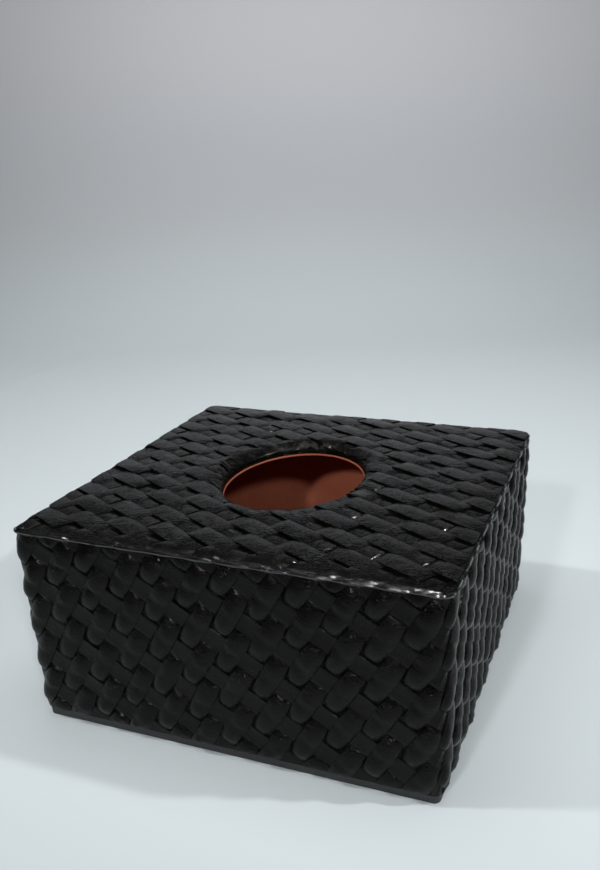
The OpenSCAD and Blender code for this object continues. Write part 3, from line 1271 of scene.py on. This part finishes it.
@dataclass(frozen=True)
class SideWrap:
    """The woven strip round the four walls, with its folded edge at the top."""

    top: float = 74.9
    bead_inset: float = 1.15
    bead_radius: float = 0.70
    bead_level: float = 75.25
    seam_half: float = 0.2
    seam_ridge: float = 0.75
    corner_relief: float = 0.75
    corner_fade: float = 3.0
    hem_share: float = 0.30
    hem_fade: float = 2.2
    top_share: float = 0.25
    top_share_round_corner: float = 0.75
    top_fade: tuple[float, float] = (3.4, 0.3)
    ledge_front: float = 71.5

    @property
    def reach(self) -> float:
        """Run of the strip from the middle of the front to its end at the back."""
        return 2 * BOX.side_run - self.seam_half

    def drape(self, points: np.ndarray) -> np.ndarray:
        """Bends the flat strip round the four walls.

        Args:
            points: Run, rise and height of each point. Run is 0 at the middle of the front.

        Returns:
            Places on the box, in millimetres.
        """
        run, rise, height = points.T
        side, far = np.sign(run) + (run == 0), np.abs(run)
        straight, bend, quarter = BOX.half_straight, BOX.corner_run, BOX.side_run
        to_corner = np.abs((far - quarter / 2) - quarter * np.round((far - quarter / 2) / quarter))
        near = 1 - smoothstep(to_corner, bend / 2 - 0.5, bend / 2 + self.corner_fade)
        lift = 1 - (1 - self.corner_relief) * near
        over_hem = smoothstep(rise, BOX.hem, BOX.hem + self.hem_fade)
        lift = lift * (self.hem_share + (1 - self.hem_share) * over_hem)
        least = np.where(far < straight - 2, self.top_share, self.top_share_round_corner)
        to_top = smoothstep(rise, *(self.top - fade for fade in self.top_fade))
        lift = lift * (least + (1 - least) * (1 - to_top))
        height = np.where(height > 0, height * lift, height)
        radius = BOX.corner - BOX.sheet_inset + height
        out = BOX.face + height
        x, y = far.copy(), -out.copy()
        for k in range(2):
            start = straight + k * quarter
            turn = np.clip((far - start) / bend, 0, 1) * math.pi / 2 + k * math.pi / 2
            cx, cy = straight, -straight + k * 2 * straight
            arc = far > start
            x = np.where(arc, cx + radius * np.sin(turn), x)
            y = np.where(arc, cy - radius * np.cos(turn), y)
            past = far - start - bend
            after = past > 0
            if k == 0:
                x, y = np.where(after, out, x), np.where(after, -straight + past, y)
            else:
                x, y = np.where(after, straight - past, x), np.where(after, out, y)
        return np.stack([side * x, y, rise], 1)

    def sheet(self) -> Mesh:
        """The sheet under the strips, closed, with its lower edge turned under the walls.

        Returns:
            The mesh, in millimetres.
        """
        bends = [BOX.half_straight + BOX.corner_run * k / 6 for k in range(7)]
        far = [q + r for q in (0, BOX.side_run) for r in bends]
        runs = sorted([-r for r in far] + [0.0] + far + [-self.reach, self.reach])
        t = BOX.sheet
        inner = -t - 0.02
        front = [(-2.6, 3.0), (-0.7, 3.0), (-0.22, 3.08), (0, 3.45), (0, 20), (0, self.top),
                 (inner, self.top), (inner, 3.6), (-2.6, 3.6)]
        back = [(inner, 3.52), (-t, 3.50), (-0.22, 3.54), (0, 3.85), (0, 20), (0, self.top),
                (inner, self.top), (inner, 4.0), (inner, 3.56)]
        points = []
        for run in runs:
            section = back if abs(run) > BOX.side_run + bends[2] else front
            points += [(run, rise, height) for height, rise in section]
        mesh = closed_tube("side_sheet", points, len(front))
        set_coords(mesh, self.drape(coords(mesh)))
        return mesh

    def strips(self, piece: StripPiece, loom: Loom) -> Mesh:
        """One kind of strip, cut at the borders and draped.

        Args:
            piece: The shape that is repeated.
            loom: What the woven pieces share.

        Returns:
            The strips, in millimetres and in place.
        """
        field = WovenField("side", columns=53, rows=7, first_column=-26, first_row=-1, flat=WEAVE.side_flat,
                           seed=11)
        mesh = field.strips(piece, loom)
        for x, y, way in ((self.reach, 0, (1, 0, 0)), (-self.reach, 0, (-1, 0, 0)),
                          (0, BOX.hem + 0.05, (0, -1, 0)), (0, self.top, (0, 1, 0))):
            cut(mesh, (x, y, 0), way)
        set_coords(mesh, self.drape(coords(mesh)))
        return mesh

    def back_ledge(self) -> Mesh:
        """The lower edge that is turned under the back wall, in front of the hinge's fold line.

        Returns:
            The mesh, in millimetres.
        """
        half = BOX.width / 2 - BOX.wall_inset
        ledge = (self.ledge_front, BOX.fold_y - BOX.fold_gap)
        levels = (BOX.base_top, BOX.base_top + BOX.sheet)
        points = [(x, y, z) for x in (-half, half) for y in ledge for z in levels]
        faces = [(0, 1, 3, 2), (4, 6, 7, 5), (0, 4, 5, 1), (2, 3, 7, 6), (0, 2, 6, 4), (1, 5, 7, 3)]
        return mesh_from("back_ledge", points, faces)

    def build(self, loom: Loom) -> Object:
        """Builds the whole wrap.

        Args:
            loom: What the woven pieces share.

        Returns:
            The piece.
        """
        strips = [self.strips(piece, loom) for piece in (SIDE_PUFF, SIDE_FLAT)]
        path = sunk(rounded_path(self.bead_inset, BOX.corner - self.bead_inset, self.bead_level))
        edge = loom.folded_edge("side_edge", path, True, (self.bead_radius, *EDGE_FOLDS), 3.0)
        plain = [(self.sheet(), 0.1), (self.back_ledge(), 0.1), (edge, 1.1)]
        for side in (-1, 1):
            post = [(side * self.seam_ridge, BOX.face + 0.15, z)
                    for z in np.linspace(BOX.hem + 0.4, self.top, 20)]
            ridge = loom.folded_edge("seam_ridge", np.array(post), False,
                                     (0.55, 0.1, WEAVE.row / 2, 0.12, 1.2), 9.0 + side)
            plain.append((ridge, 0.9))
        piece = woven_piece("woven_side_wrap", strips, plain, loom.material)
        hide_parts("side_wrap")
        return piece


@dataclass(frozen=True)
class Oval:
    """The oval opening: places by their angle round it and their distance outside it."""

    middle: tuple[float, float] = (BOX.opening_x, BOX.opening_y)
    half_width: float = BOX.opening_width / 2
    half_depth: float = BOX.opening_depth / 2
    samples: int = 1440
    batch: int = 2000

    def at(self, angle: np.ndarray, distance: np.ndarray | float) -> np.ndarray:
        """Places at a distance outside the oval, square to its point at an angle.

        Args:
            angle: Angle round the opening.
            distance: Distance outside it.

        Returns:
            X and Y of each place.
        """
        normal = np.stack([np.cos(angle) / self.half_width, np.sin(angle) / self.half_depth], -1)
        normal /= np.linalg.norm(normal, axis=-1, keepdims=True)
        on = np.stack([self.half_width * np.cos(angle), self.half_depth * np.sin(angle)], -1)
        return np.array(self.middle) + on + normal * np.asarray(distance)[..., None]

    def find(self, places: np.ndarray) -> tuple[np.ndarray, np.ndarray]:
        """Angle and signed distance of places, positive outside.

        Args:
            places: X and Y of each place.

        Returns:
            The angles and the distances.
        """
        angles = np.linspace(-math.pi, math.pi, self.samples, endpoint=False)
        on = self.at(angles, 0.0)
        found = np.empty(len(places))
        away = np.empty(len(places))
        off = (places - np.array(self.middle)) / np.array([self.half_width, self.half_depth])
        inside = (off ** 2).sum(1) < 1
        for start in range(0, len(places), self.batch):
            some = slice(start, start + self.batch)
            gap = np.linalg.norm(places[some][:, None] - on[None], axis=2)
            best = gap.argmin(1)
            found[some] = angles[best]
            away[some] = gap[np.arange(len(best)), best]
        return found, np.where(inside, -away, away)


@dataclass(frozen=True)
class TopCover:
    """The woven sheet on the top, rolled down into the opening.

    The strips near the opening are parked far from the others while they are cut, laid out by
    the distance round and outside the opening.
    """

    roll: float = 1.7
    edge_inset: float = 3.45
    edge_radius: float = 0.72
    edge_level: float = 75.2
    field_half: float = 74.9
    corner: float = 3.8
    wall_depth: float = 3.1
    front_cut: float = 1.9
    near: float = 3.0
    parked: float = 500.0
    round_radius: float = 30.0
    slice_pitch: float = 2.0
    rolled_share: float = 0.10
    rolled_fade: tuple[float, float] = (-0.6, 4.2)
    border_share: float = 0.45
    back_border_share: float = 0.85
    border_change: tuple[float, float] = (-73.0, -66.0)
    border_fade: tuple[float, float] = (3.2, 6.4)
    sheet_points: int = 160
    sheet_inset: float = 2.35
    corner_inset: float = 0.6
    edge_corner: float = 1.6

    @property
    def last_run(self) -> float:
        """Run of the sheet's inner edge, measured as if it lay flat and 0 were at the opening."""
        return self.roll - self.roll * math.pi / 2 - (self.wall_depth - self.roll)

    def over_the_edge(self, run: np.ndarray, height: np.ndarray) -> tuple[np.ndarray, np.ndarray]:
        """Rolls the sheet down into the opening.

        Args:
            run: Distance from the opening, measured along the flat sheet.
            height: Height over the sheet.

        Returns:
            The distance from the opening and the level over the sheet.
        """
        turn = np.clip((self.roll - run) / self.roll, 0, math.pi / 2)
        down = np.clip(self.roll - self.roll * math.pi / 2 - run, 0, None)
        out = np.where(run > self.roll, run, self.roll - (self.roll + height) * np.sin(turn))
        level = np.where(run > self.roll, height, -self.roll + (self.roll + height) * np.cos(turn) - down)
        return out, level

    def trim(self, flat: Mesh) -> None:
        """Cuts the strips along the four borders and across the corners.

        Args:
            flat: The strips, which are changed.
        """
        for x, y in ((-1, 0), (1, 0), (0, -1), (0, 1)):
            half = self.field_half - self.front_cut * (y < 0)
            cut(flat, (x * half, y * half, 0.0), (x, y, 0.0))
        for x, y, bias in product((-1, 1), (-1, 1), (0.5, 2.0)):
            way = np.array([x * bias, y, 0.0]) / math.hypot(bias, 1)
            middle = (self.field_half - self.corner) * np.array([x, y, 0.0])
            cut(flat, middle + self.corner * way, way)

    def strips(self, piece: StripPiece, loom: Loom) -> Mesh:
        """One kind of strip, cut at the borders, rolled into the opening and laid on the top.

        Args:
            piece: The shape that is repeated.
            loom: What the woven pieces share.

        Returns:
            The strips, in millimetres and in place.
        """
        x, y = WEAVE.top_flat
        field = WovenField("top", columns=15, rows=13, first_column=-8, first_row=-6,
                           flat=(-y / WEAVE.top_spread, x / WEAVE.top_stretch), seed=37)
        flat = field.strips(piece, loom)
        run, rise, height = coords(flat).T
        set_coords(flat, np.stack([rise * WEAVE.top_stretch, -run * WEAVE.top_spread, height], 1))
        self.trim(flat)
        points = coords(flat)
        oval = Oval()
        angle, run = oval.find(points[:, :2])
        number = point_values(flat, "number").astype(int)
        count = number.max() + 1
        nearest, farthest, own = np.full(count, np.inf), np.full(count, -np.inf), np.zeros(count)
        np.minimum.at(nearest, number, run)
        np.maximum.at(farthest, number, run)
        for i in np.argsort(np.abs(run))[::-1]:
            own[number[i]] = angle[i]
        own = own[number]
        near = nearest[number] < self.roll + self.near
        gone = farthest[number] < self.last_run + 0.4
        turned = np.remainder(angle - own + math.pi, 2 * math.pi) - math.pi
        around = turned * self.round_radius + np.where(near, self.parked, 0.0)
        polar = np.stack([around, run, points[:, 2]], 1)
        keep_values(flat, "own", own)
        set_coords(flat, np.where(near[:, None], polar, points))
        rim, rest = split(flat, (near & ~gone, ~near))
        cut(rim, (self.parked, self.last_run, 0.0), (0, -1, 0))
        slice_up(rim, self.parked, self.round_radius, self.slice_pitch)
        around, run, height = coords(rim).T
        own = point_values(rim, "own")
        fade = self.rolled_share + (1 - self.rolled_share) * smoothstep(run, *self.rolled_fade)
        out, level = self.over_the_edge(run, np.where(height > 0, height * fade, height))
        place = oval.at((around - self.parked) / self.round_radius + own, out)
        set_coords(rim, np.column_stack([place, level + BOX.sheet_top]))
        set_coords(rest, coords(rest) + np.array([0, 0, BOX.sheet_top]))
        for mesh in (rim, rest):
            self.settle(mesh)
        return joined(f"top_{piece.lay.value}", (rim, rest), finished=False)

    def settle(self, mesh: Mesh) -> None:
        """Lets the strips go flat towards the folded edge round the top.

        Args:
            mesh: The strips, which are changed.
        """
        points = coords(mesh)
        inset = BOX.width / 2 - np.abs(points[:, :2]).max(1)
        gain = self.back_border_share - self.border_share
        least = self.border_share + gain * smoothstep(points[:, 1], *self.border_change)
        fade = least + (1 - least) * smoothstep(inset, *self.border_fade)
        over = points[:, 2] - BOX.sheet_top
        points[:, 2] = np.where(over > 0, BOX.sheet_top + over * fade, points[:, 2])
        set_coords(mesh, points)

    def sheet(self) -> Mesh:
        """The sheet under the strips, closed, from its edge in the opening to its outer border.

        Returns:
            The mesh, in millimetres.
        """
        count, t = self.sheet_points, BOX.sheet
        angles = np.linspace(-math.pi, math.pi, count, endpoint=False)
        oval = Oval()
        rolls = np.linspace(self.roll - self.roll * math.pi / 2, self.roll, 6)
        upper = [(self.last_run, 0.0)] + [(r, 0.0) for r in rolls] + [(None, 0.0)]
        section = upper + [(r, -t) for r, _ in reversed(upper)]
        border = self.border(angles, BOX.width / 2 - self.sheet_inset)
        ragged = 0.50 + 0.26 * np.sin(3 * angles) + 0.12 * np.sin(11 * angles + 1)
        rings = []
        for run, height in section:
            if run is None:
                rings.append(np.column_stack([border, np.full(count, BOX.sheet_top + height)]))
                continue
            out, level = self.over_the_edge(run - ragged * (run == self.last_run), np.full(count, height))
            rings.append(np.column_stack([oval.at(angles, out), level + BOX.sheet_top]))
        points = np.stack(rings, 1).reshape(-1, 3)
        return mesh_from("top_sheet", points, grid_faces(count, len(section), True, True))

    def border(self, angles: np.ndarray, half: float) -> np.ndarray:
        """Points of a square border, one for each angle, with one at each corner.

        Args:
            angles: Angle of each point.
            half: Half the square's width.

        Returns:
            X and Y of each point.
        """
        start = Oval().at(angles, 0.0)
        way = Oval().at(angles, 1.0) - start
        with np.errstate(divide="ignore"):
            reach = ((half - np.sign(way) * start) / np.abs(way)).min(1)
        points = start + way * reach[:, None]
        for signs in product((-1, 1), (-1, 1)):
            corner = np.array(signs) * (half - self.corner_inset)
            points[np.linalg.norm(points - corner, axis=1).argmin()] = corner
        return points

    def build(self, loom: Loom) -> Object:
        """Builds the whole top cover.

        Args:
            loom: What the woven pieces share.

        Returns:
            The piece.
        """
        strips = [self.strips(piece, loom) for piece in (TOP_PUFF, TOP_FLAT)]
        path = sunk(rounded_path(self.edge_inset, self.edge_corner, self.edge_level, 4))
        edge = loom.folded_edge("top_edge", path, True, (self.edge_radius, *EDGE_FOLDS), 21.0)
        piece = woven_piece("woven_top_cover", strips, [(self.sheet(), 0.1), (edge, 1.1)], loom.material)
        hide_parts("top_cover")
        return piece


@dataclass(frozen=True)
class HingeTape:
    """The cloth tape that joins the back wall to the base, in one strip across the fold."""

    bends: int = 4
    corner: float = 0.5

    def path(self) -> list[tuple[float, float]]:
        """Y and Z of the tape's middle, from the wall down and forward under the base board.

        Returns:
            The points, in millimetres.
        """
        z0, corner = BOX.base_top, self.corner
        top, low = z0 + BOX.fold_gap + BOX.tape_up, BOX.plain_sheet + BOX.tape / 2
        y, front = BOX.fold_y, BOX.fold_y - BOX.tape / 2 - BOX.tape_under
        upper = [(y, z) for z in np.linspace(top, z0 + BOX.fold_gap, 8)]
        fold = [(y, z) for z in np.linspace(z0 + BOX.fold_gap, z0 - BOX.fold_gap, self.bends + 1)][1:]
        turn = [(y - corner + corner * math.cos(a), low + corner - corner * math.sin(a))
                for a in np.linspace(0, math.pi / 2, 5)]
        return upper + fold + turn + [(front, low)]

    def build(self, material: Material) -> Object:
        """Builds the tape, shaped across the hinge's fold.

        Args:
            material: The finish.

        Returns:
            The piece.
        """
        path = np.array(self.path())
        step = np.gradient(path, axis=0)
        step /= np.linalg.norm(step, axis=1, keepdims=True)
        side = np.stack([-step[:, 1], step[:, 0]], 1)
        section = np.concatenate([path + side * BOX.tape / 2, path[::-1] - side[::-1] * BOX.tape / 2])
        runs = np.linspace(-BOX.tape_length / 2, BOX.tape_length / 2, 34)
        points = [(x * MM, y * MM, z * MM) for x in runs for y, z in section]
        mesh = joined("hinge_tape", [closed_tube("tape", points, len(section))])
        piece = show("hinge_tape", mesh, material)
        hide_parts("hinge_tape_wall_leaf", "hinge_tape_base_leaf")
        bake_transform(piece)
        return piece


@dataclass(frozen=True)
class BaseCover:
    """Plain leatherette over the base's underside, turned up over its rim, with softened edges."""

    softness: float = 0.35

    def build(self, material: Material) -> Object:
        """Builds the cover from the node's own shape, with its edges softened.

        Args:
            material: The finish.

        Returns:
            The piece.
        """
        mesh = bpy.data.meshes.new("base_cover_soft")
        with edited(mesh, (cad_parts["base_cover"].data,)) as shape:
            bmesh.ops.remove_doubles(shape, verts=shape.verts[:], dist=1e-6)
            bmesh.ops.dissolve_limit(shape, angle_limit=math.radians(1), verts=shape.verts[:],
                                     edges=shape.edges[:])
        piece = show("plain_base_cover", mesh, material)
        bevel = piece.modifiers.new("soften", "BEVEL")
        bevel.width = self.softness * MM
        bevel.segments = 2
        bevel.limit_method = "ANGLE"
        bevel.angle_limit = math.radians(40)
        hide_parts("base_cover")
        return piece


@dataclass(frozen=True)
class Lamp:
    """A flat lamp: its place and size in metres, and its beam's angle in degrees.

    Its strength is about the light that it sends to the place that it faces, in watts on a
    square metre.
    """

    name: str
    place: Place
    size: tuple[float, float]
    strength: float
    spread: float = 75.0
    aim: Place = (0.0, 0.0, 0.0)

    def hang(self) -> None:
        """Hangs the lamp and turns it to what it faces."""
        data = bpy.data.lights.new(self.name, "AREA")
        data.shape = "RECTANGLE"
        data.size, data.size_y = self.size
        direction = Vector(self.place) - Vector(self.aim)
        half = math.radians(self.spread) / 2
        data.energy = math.pi * direction.length_squared * self.strength * (1 - half / math.tan(half))
        data.spread = 2 * half
        lamp = put_in_scene(self.name, data)
        lamp.rotation_mode = "QUATERNION"
        lamp.rotation_quaternion = Vector((0, 0, 1)).rotation_difference(direction)
        lamp.location = self.place


LAMPS = (
    Lamp("soft_box", (0.0, -0.02, 0.75), (0.6, 0.5), 1.55, 170.0),
    Lamp("backdrop_lamp", (-0.12, 0.15, 1.25), (0.6, 0.3), 2.6, 95.0, aim=(-0.28, 0.92, 0.36)),
    Lamp("key_lamp", (-0.62, -0.30, 1.05), (0.06, 0.06), 1.0),
    Lamp("right_lamp", (0.85, 0.15, 0.75), (0.04, 0.04), 1.5),
    Lamp("front_lamp", (-0.1, -1.7, 1.05), (0.12, 0.12), 1.1, 45.0),
    Lamp("front_right_lamp", (1.05, -1.22, 1.05), (0.12, 0.12), 0.8, 45.0),
)


@dataclass(frozen=True)
class Studio:
    """Pale floor and backdrop, the world's light and the camera.

    The eye is in millimetres, the angles are in degrees, and the middle is the place in the
    picture that the camera's own axis goes through, in pixels.
    """

    floor_colour: Colour = (0.570, 0.625, 0.645)
    # Painted light and shade on the paper: darker far out in front, where the lamps' pool of light ends,
    # darker in the cove, and lighter up the backdrop
    front_shade_colour: Colour = (0.405, 0.445, 0.460)
    cove_shade_colour: Colour = (0.520, 0.545, 0.570)
    backdrop_light_colour: Colour = (0.640, 0.642, 0.670)
    front_shade_fade: tuple[float, float] = (-0.02, -0.32)
    cove_shade_fade: tuple[float, float] = (0.0, 0.12)
    backdrop_light_fade: tuple[float, float] = (0.13, 0.36)
    world_colour: Colour = (0.9, 0.95, 1.0)
    world_strength: float = 0.04
    eye: Place = (116.13, -281.48, 192.61)
    heading: float = 22.531
    tilt: float = 25.006
    roll: float = -2.238
    focal_pixels: float = 856.5
    image_width: int = 600
    image_height: int = 870
    middle_x: float = 300.0
    middle_y: float = 535.0
    floor_half_width: float = 2.6
    floor_front: float = -2.2
    floor_back: float = 0.55
    cove_radius: float = 0.5
    cove_steps: int = 12

    def camera(self) -> Object:
        """Makes the camera at the photograph's view.

        Returns:
            The camera.
        """
        data = bpy.data.cameras.new("camera")
        data.sensor_fit = "AUTO"
        data.sensor_width = 36.0
        data.lens = self.focal_pixels * data.sensor_width / self.image_height
        data.shift_x = (self.image_width / 2 - self.middle_x) / self.image_height
        data.shift_y = (self.middle_y - self.image_height / 2) / self.image_height
        data.clip_start = 0.01
        view = put_in_scene("camera", data)
        turn = (Matrix.Rotation(math.radians(self.heading), 4, "Z")
                @ Matrix.Rotation(math.radians(90 - self.tilt), 4, "X")
                @ Matrix.Rotation(math.radians(self.roll), 4, "Z"))
        view.matrix_world = Matrix.Translation([c * MM for c in self.eye]) @ turn
        bpy.context.scene.camera = view
        return view

    def sweep(self) -> Object:
        """Makes the floor, which curves up into the backdrop, in metres.

        Returns:
            The floor.
        """
        profile = [(self.floor_front, 0.0), (self.floor_back, 0.0)]
        for k in range(1, self.cove_steps + 1):
            a = math.radians(90 * k / self.cove_steps)
            profile.append((self.floor_back + self.cove_radius * math.sin(a),
                            self.cove_radius - self.cove_radius * math.cos(a)))
        turn = math.radians(self.heading)
        points = [(across * math.cos(turn) - along * math.sin(turn),
                   across * math.sin(turn) + along * math.cos(turn), level)
                  for across in (-self.floor_half_width, self.floor_half_width) for along, level in profile]
        faces = grid_faces(2, len(profile), False, False)
        mesh = mesh_from("floor", points, [face[::-1] for face in faces])
        material, graph, shader, place = start_material("studio_paper")
        _, y, z = graph.add("ShaderNodeSeparateXYZ", {0: place}).outputs
        # These mixes paint light and shade onto the paper by place
        colour = self.floor_colour
        for axis, fade, other in ((y, self.front_shade_fade, self.front_shade_colour),
                                  (z, self.cove_shade_fade, self.cove_shade_colour),
                                  (z, self.backdrop_light_fade, self.backdrop_light_colour)):
            colour = graph.mix(graph.span(axis, *fade), colour, other)
        graph.fill(shader, {"Base Color": colour, "Roughness": 0.9, "Specular IOR Level": 0.1})
        floor = show("floor", mesh, material)
        return floor

    def build(self) -> None:
        """Sets up the camera, the lamps, the world, the floor and the view transform."""
        scene = bpy.context.scene
        scene.view_settings.view_transform = "Standard"
        self.camera()
        self.sweep()
        for lamp in LAMPS:
            lamp.hang()
        world = scene.world or bpy.data.worlds.new("world")
        scene.world = world
        world.use_nodes = True
        back = world.node_tree.nodes["Background"]
        back.inputs["Color"].default_value = (*self.world_colour, 1.0)
        back.inputs["Strength"].default_value = self.world_strength


# Finishes of this box

WOVEN_BLACK = Leatherette("woven_black_leatherette", (0.0013, 0.0012, 0.0010), (0.0024, 0.0023, 0.0020),
                          roughness=0.14, rubbed_roughness=0.11, specular=0.137,
                          specular_tint=(1.0, 0.97, 0.91), grain=1100.0, dust=0.006, lifted=True)
PLAIN_BLACK = Leatherette("plain_black_leatherette", (0.020, 0.021, 0.023), (0.028, 0.029, 0.031),
                          roughness=0.46, rubbed_roughness=0.40, grain=1500.0)
LINING = Fibrous("terracotta_lining", (0.42, 0.13, 0.070), (0.36, 0.105, 0.055), roughness=0.78,
                 fibres=3200.0, depth=0.04)
GREY_BOARD = Fibrous("grey_board", (0.36, 0.33, 0.28), (0.28, 0.25, 0.21), roughness=0.85, fibres=900.0,
                     direction=(0.4, 0.4, 2.5), depth=0.1, tone_scale=70.0)
BLOCK_WOOD = Fibrous("block_wood", (0.52, 0.36, 0.21), (0.42, 0.28, 0.15), roughness=0.6, fibres=700.0,
                     direction=(2.0, 2.0, 0.25), depth=0.06, tone_scale=120.0)
CLOTH_TAPE = Fibrous("black_cloth_tape", (0.020, 0.020, 0.022), (0.030, 0.030, 0.032), roughness=0.75,
                     fibres=2200.0, direction=(0.3, 2.0, 2.0), depth=0.08)
NICKEL = TurnedMetal("magnet_nickel", (0.60, 0.59, 0.56), 0.26)
STEEL = TurnedMetal("disc_steel", (0.56, 0.57, 0.58), 0.36)


def dress_nodes(plain: Material) -> None:
    """Gives each node that stays its finish.

    Args:
        plain: The plain leatherette, which is turned in over the base board's rim.
    """
    finishes = {
        GREY_BOARD.material(): ("top_board", "front_board", "back_board", "left_board", "right_board"),
        plain: ("base_board",),
        BLOCK_WOOD.material(): ("corner_blocks",),
        LINING.material(): ("top_lining", "front_lining", "back_lining", "left_lining", "right_lining",
                            "base_lining"),
        NICKEL.material(): ("magnets",),
        STEEL.material(): ("catch_discs",),
    }
    for material, nodes in finishes.items():
        for name in nodes:
            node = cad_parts[name]
            for slot in node.material_slots:
                slot.material = material
            log.info("node %s dressed in %s", name, material.name)


def report(piece: Object) -> None:
    """Writes a piece's name and size to the log."""
    log.info("piece %s: %d faces", piece.name, len(piece.data.polygons))


def main() -> None:
    """Builds every piece in order."""
    logging.basicConfig(level=logging.INFO, format="%(name)s: %(message)s")
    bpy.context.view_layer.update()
    Studio().build()
    woven, plain = WOVEN_BLACK.material(), PLAIN_BLACK.material()
    loom = Loom(lattice_tree(), bead_tree(), woven)
    for assembly in (SideWrap(), TopCover()):
        piece = assembly.build(loom)
        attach(piece, Body.COVER.value)
        report(piece)
    base = BaseCover().build(plain)
    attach(base, Body.BASE.value)
    report(base)
    report(HingeTape().build(CLOTH_TAPE.material()))
    dress_nodes(plain)


if __name__ == "__main__":
    main()
